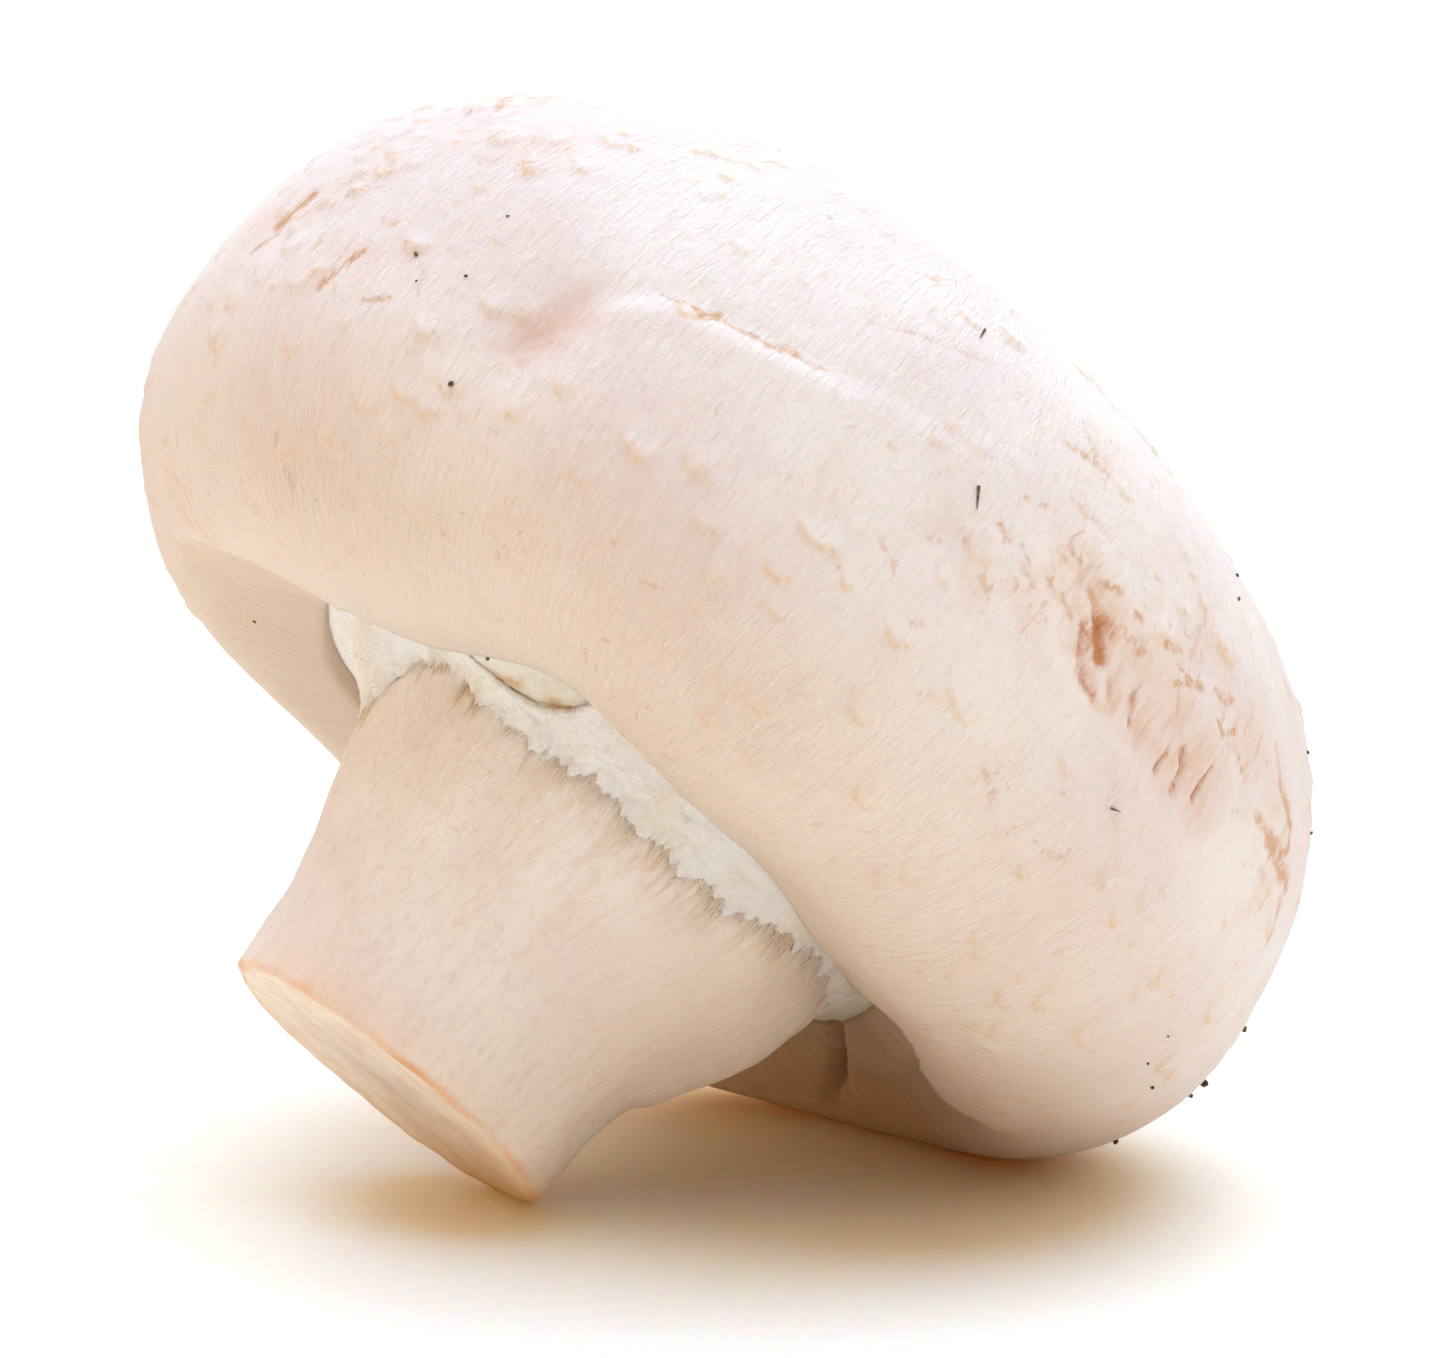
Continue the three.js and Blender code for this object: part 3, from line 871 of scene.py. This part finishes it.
def on_stem(turn, level):
    """The place on the stem at an angle in degrees and a height, and its normal."""
    t = math.radians(turn)
    lean = STEM_BEND * float(ramp(np.array([level]), 4, 12)[0])
    ring = float(stem_radius(level)) + 0.2
    start = Vector((ring * math.cos(t) + lean * math.cos(BEND_TOWARDS),
                    ring * math.sin(t) + lean * math.sin(BEND_TOWARDS), level))
    spot, normal, _, _ = stem_surface.find_nearest(start)
    return spot, normal

# %% [markdown]
# ## The veil
#
# The veil is a cottony sheet that reaches from the lip of the cap to the stem and hugs it in a ragged
# fringe. It is spun as a flat ring, and every vertex is then moved on to a curve that hangs between the
# lip and the fringe at its own angle. Where it has torn along the lip its outer layers have parted and
# shrunk back from a shallow pocket, whose floor shows the stretched layer below them. The knots of the
# fringe are angles and heights on the stem.

# %% Hang the veil
FRINGE = [
    (0, 12.6), (60, 12.3), (110, 12.4), (148, 11.8), (163, 11.3), (169, 12.4), (176, 13.2), (184, 13.6),
    (192, 13.6), (199, 13.2), (205, 12.8), (230, 12.75), (246, 12.6), (255, 12.35), (268, 12.2),
    (276, 12.6), (284, 13.1), (296, 13.6), (310, 13.9), (335, 13.2),
]
TEAR_FROM, TEAR_TO = 202, 233
HANG_RADIUS = 14.3  # where the veil grows from the lip
VEIL_ROWS, VEIL_STEPS = 26, 560
RING_EDGE, RING_WIDTH = 20, 10
ring_outline = [(RING_EDGE - i * RING_WIDTH / VEIL_ROWS, 0) for i in range(VEIL_ROWS + 1)]
veil_shape = spun(ring_outline, VEIL_STEPS)


def hang(turn, share):
    """Where a point of the veil is: share 0 at the lip, 1 at the fringe."""
    t = math.radians(turn)
    one = np.array([turn])
    level = -RIM_DROP + 1.45 + float(rim_lift(one, HANG_RADIUS)[0])
    lip_point = cap_to_stem @ Vector((HANG_RADIUS * math.cos(t), HANG_RADIUS * math.sin(t), level))
    fringe = float(around(one, FRINGE)[0])
    end, normal = on_stem(turn, fringe)
    knee, _ = on_stem(turn, fringe + 1.1)
    knee = knee + normal * 0.9
    end = end - normal * 0.03
    return lip_point * (1 - share) ** 2 + knee * (2 * share * (1 - share)) + end * share ** 2, normal


veil_inside = veil_shape.verts.layers.float.new("inside")
veil_streak = veil_shape.verts.layers.float.new("streak")
columns = {}
for vert in veil_shape.verts:
    turn = math.degrees(math.atan2(vert.co.y, vert.co.x)) % 360
    share = (RING_EDGE - math.hypot(vert.co.x, vert.co.y)) / RING_WIDTH
    columns.setdefault(round(turn, 3), []).append((share, vert))
for turn, column in columns.items():
    t = math.radians(turn)
    shag = noise.noise(Vector((math.cos(t) * 9, math.sin(t) * 9, 0))) \
        + 0.7 * noise.noise(Vector((math.cos(t) * 26, math.sin(t) * 26, 3))) \
        + 0.8 * abs(noise.noise(Vector((math.cos(t) * 62, math.sin(t) * 62, 6))))
    through = (turn - TEAR_FROM) / (TEAR_TO - TEAR_FROM)
    tall = 0.62 * math.sqrt(max(0, 1 - (2 * through - 1) ** 2)) * (1.08 - 0.25 * through)
    for share, vert in column:
        spot, normal = hang(turn, share)
        cotton = noise.noise(spot * 1.6) * 0.12 + noise.noise(spot * 4.5) * 0.08
        spot = spot + normal * (cotton * min(1, 3 * share))
        spot.z -= 0.60 * shag * share ** 5
        inside = float(ramp(tall - share, 0.0, 0.07))
        spot = spot - normal * (0.45 * inside)
        vert[veil_inside] = inside
        ripple = 0.03 * noise.noise(spot * 1.2)
        for start, end, low in ((0.10, 0.50, 0.40), (0.55, 0.95, 0.42)):
            line = math.exp(-((share - low - ripple) / 0.06) ** 2)
            stretch = float(ramp(through, start, start + 0.1) * ramp(-through, -end, 0.1 - end))
            vert[veil_streak] += inside * line * stretch
        vert.co = spot
bmesh.ops.recalc_face_normals(veil_shape, faces=veil_shape.faces)
veil_mesh = mesh_of(veil_shape, "veil")

# %% [markdown]
# ## Veil cotton
#
# Loose white threads with air between them: the whitest and roughest part. Little light sinks far into
# the sheet, but a loose thread lets half of it through.

# %% Veil material
def cotton_wool(name, depth):
    """Veil cotton, with light sinking in by the given share."""
    made, tree, out = tree_of(name)
    place_on = add(tree, "TexCoord").outputs["Object"]
    tangle = add(tree, "TexNoise", {"Vector": place_on, "Scale": 1500.0, "Detail": 5.0, "Roughness": 0.65,
                                    "Distortion": 1.5}).outputs["Fac"]
    cloud = add(tree, "TexNoise", {"Vector": place_on, "Scale": 300.0, "Detail": 3.0}).outputs["Fac"]
    colour = blend(tree, band(tree, cloud, 0.4, 0.7), linear("fffbf4"), linear("faf0de"))
    colour = blend(tree, band(tree, tangle, 0.3, 0.6, 0.15, 0.0), colour, linear("e6d3b4"))
    colour = blend(tree, times(tree, painted(tree, "inside"), 0.6), colour, linear("f6ead2"))
    colour = blend(tree, times(tree, painted(tree, "streak"), 0.8), colour, linear("d9ac70"))
    felt = add(tree, "Bump", {"Height": tangle, "Strength": 0.7 if depth else 0.1, "Distance": 0.0003})
    surface = flesh_shader(tree, colour, felt.outputs[0], 0.85, depth, 0.0004)
    tree.links.new(surface, out.inputs["Surface"])
    return made


finish_piece(veil_mesh, "veil", cotton_wool("veil_cotton", 0.3), "veil_tissue", stem_to_ground, "veil",
             thickness=0.10)

# %% [markdown]
# The fringe frays into tufts of fine threads that cling to the stem. They are drawn several
# times thicker than life, so that they show at all, and each tapers to its tip.

# %% Fringe threads
def thread(shape, path, thick):
    """A fine tapering thread with three sides along a path of points."""
    rings = []
    for i, spot in enumerate(path):
        ahead = (path[min(i + 1, len(path) - 1)] - path[max(i - 1, 0)]).normalized()
        side = ahead.orthogonal().normalized()
        size = thick * (1 - 0.8 * i / (len(path) - 1))
        spokes = [Matrix.Rotation(math.tau * k / 3, 3, ahead) @ side * size for k in range(3)]
        ring = [shape.verts.new(spot + spoke) for spoke in spokes]
        rings.append([shape.edges.new((ring[k], ring[(k + 1) % 3])) for k in range(3)])
    for first, second in zip(rings, rings[1:]):
        bmesh.ops.bridge_loops(shape, edges=first + second)
    bmesh.ops.holes_fill(shape, edges=rings[0] + rings[-1], sides=3)


TUFTS, THREADS_EACH = 150, 5
threads_shape = bmesh.new()
for _ in range(TUFTS):
    tuft = draw.uniform(0, 360) if draw.random() < 0.45 else draw.uniform(195, 305)
    reach = draw.uniform(0.1, 0.5) if draw.random() < 0.6 else draw.uniform(0.5, 1.3)
    for _ in range(THREADS_EACH):
        turn = tuft + draw.gauss(0, 1.4)
        level = float(around(np.array([turn]), FRINGE)[0]) + draw.uniform(0.0, 0.5)
        swing = draw.gauss(0, 1.2) + (tuft - turn) * 0.8
        long = reach * draw.uniform(0.6, 1.2) + 0.3
        stand = draw.uniform(0.02, 0.09)
        path = []
        for i in range(5):
            share = i / 4
            spot, normal = on_stem(turn + swing * share, level - long * share)
            path.append(spot + normal * (0.08 * (1 - share) + stand * share))
        thread(threads_shape, path, draw.uniform(0.04, 0.07))
bmesh.ops.recalc_face_normals(threads_shape, faces=threads_shape.faces)
threads_mesh = mesh_of(threads_shape, "fringe_threads", False)
finish_piece(threads_mesh, "fringe_threads", cotton_wool("veil_thread", 0.0), "veil_tissue", stem_to_ground)

# %% [markdown]
# ## Soil
#
# Mushrooms grow through a casing of peat, and a few dark crumbs always come up with them. Each is a small
# ball of twenty faces with its corners moved, pressed a little way into the skin. Three small
# splinters lie among them, made as short threads.

# %% Find places on the cap
upright_cap = bmesh.new()
upright_cap.from_mesh(cap_mesh)
bmesh.ops.transform(upright_cap, matrix=cap_to_ground.inverted(), verts=upright_cap.verts)
cap_surface = BVHTree.FromBMesh(upright_cap)
upright_cap.free()


def on_skin(turn, run):
    """The place on the cap at an angle in degrees and a run from the crown in mm, and its normal."""
    ring = np.interp(run, skin_run, skin_outline[:, 0])
    level = np.interp(run, skin_run, skin_outline[:, 1])
    t = math.radians(turn)
    spot, normal, _, _ = cap_surface.find_nearest(Vector((ring * math.cos(t), ring * math.sin(t), level)))
    return spot, normal

# %% Crumbs
soil, tree, out = tree_of("peat_crumb")
place_on = add(tree, "TexCoord").outputs["Object"]
grit = add(tree, "TexNoise", {"Vector": place_on, "Scale": 4000.0, "Detail": 3.0}).outputs["Fac"]
colour = blend(tree, band(tree, grit, 0.35, 0.7), linear("3e3026"), linear("8a7058"))
crust = add(tree, "Bump", {"Height": grit, "Strength": 0.8, "Distance": 0.0001})
surface = add(tree, "BsdfPrincipled", {"Base Color": colour, "Roughness": 0.9, "Normal": crust.outputs[0]})
tree.links.new(surface.outputs[0], out.inputs["Surface"])

# Angle, height and radius in mm. They are drawn at four fifths of this radius.
CRUMBS = [
    (200, 1.5, 0.16), (202, 0.5, 0.10), (206, 1.5, 0.11), (211, -2.5, 0.19), (214, -8, 0.15),
    (205, 4.5, 0.09), (205, -8, 0.10), (280, -8, 0.11), (290, 13, 0.13), (287, 11.5, 0.15),
    (317, -4, 0.14), (311, -4, 0.10), (318, -8, 0.12), (308, -3, 0.09), (329, 1.5, 0.20),
    (331, -1, 0.26), (333, -1.5, 0.18), (336, -4.5, 0.20), (315, 8, 0.14), (312, 10.5, 0.12),
]
crumbs = bmesh.new()
spots = [(turn, run_at(level), size * 0.8) for turn, level, size in CRUMBS]
spots += [(draw.uniform(50, 140), draw.uniform(8, 50), draw.uniform(0.06, 0.14)) for _ in range(25)]
for turn, run, size in spots:
    spot, normal = on_skin(turn, run)
    verts = bmesh.ops.create_icosphere(crumbs, subdivisions=1, radius=size)["verts"]
    squash = Matrix.Diagonal((draw.uniform(0.7, 1.3), draw.uniform(0.6, 1.0), draw.uniform(0.6, 1.0), 1))
    spin = Matrix.Rotation(draw.uniform(0, math.tau), 4, normal)
    for vert in verts:
        vert.co *= draw.uniform(0.8, 1.15)
    sunk = Matrix.Translation(spot + normal * size * 0.35)
    bmesh.ops.transform(crumbs, verts=verts, matrix=sunk @ spin @ squash)
SPLINTERS = [((246, 12), (246, 11.3), 0.07), ((253, 5.5), (254, 4.7), 0.09), ((280, 0), (281, 0.2), 0.06)]
for start, end, thick in SPLINTERS:
    spots = [on_skin(turn, run_at(level)) for turn, level in (start, end)]
    (first, rise), (last, _) = spots
    thread(crumbs, [first.lerp(last, share) + rise * 0.05 for share in (0, 0.35, 0.7, 1)], thick)
finish_piece(mesh_of(crumbs, "soil_crumbs", False), "soil_crumbs", soil, "cap_skin", cap_to_ground)
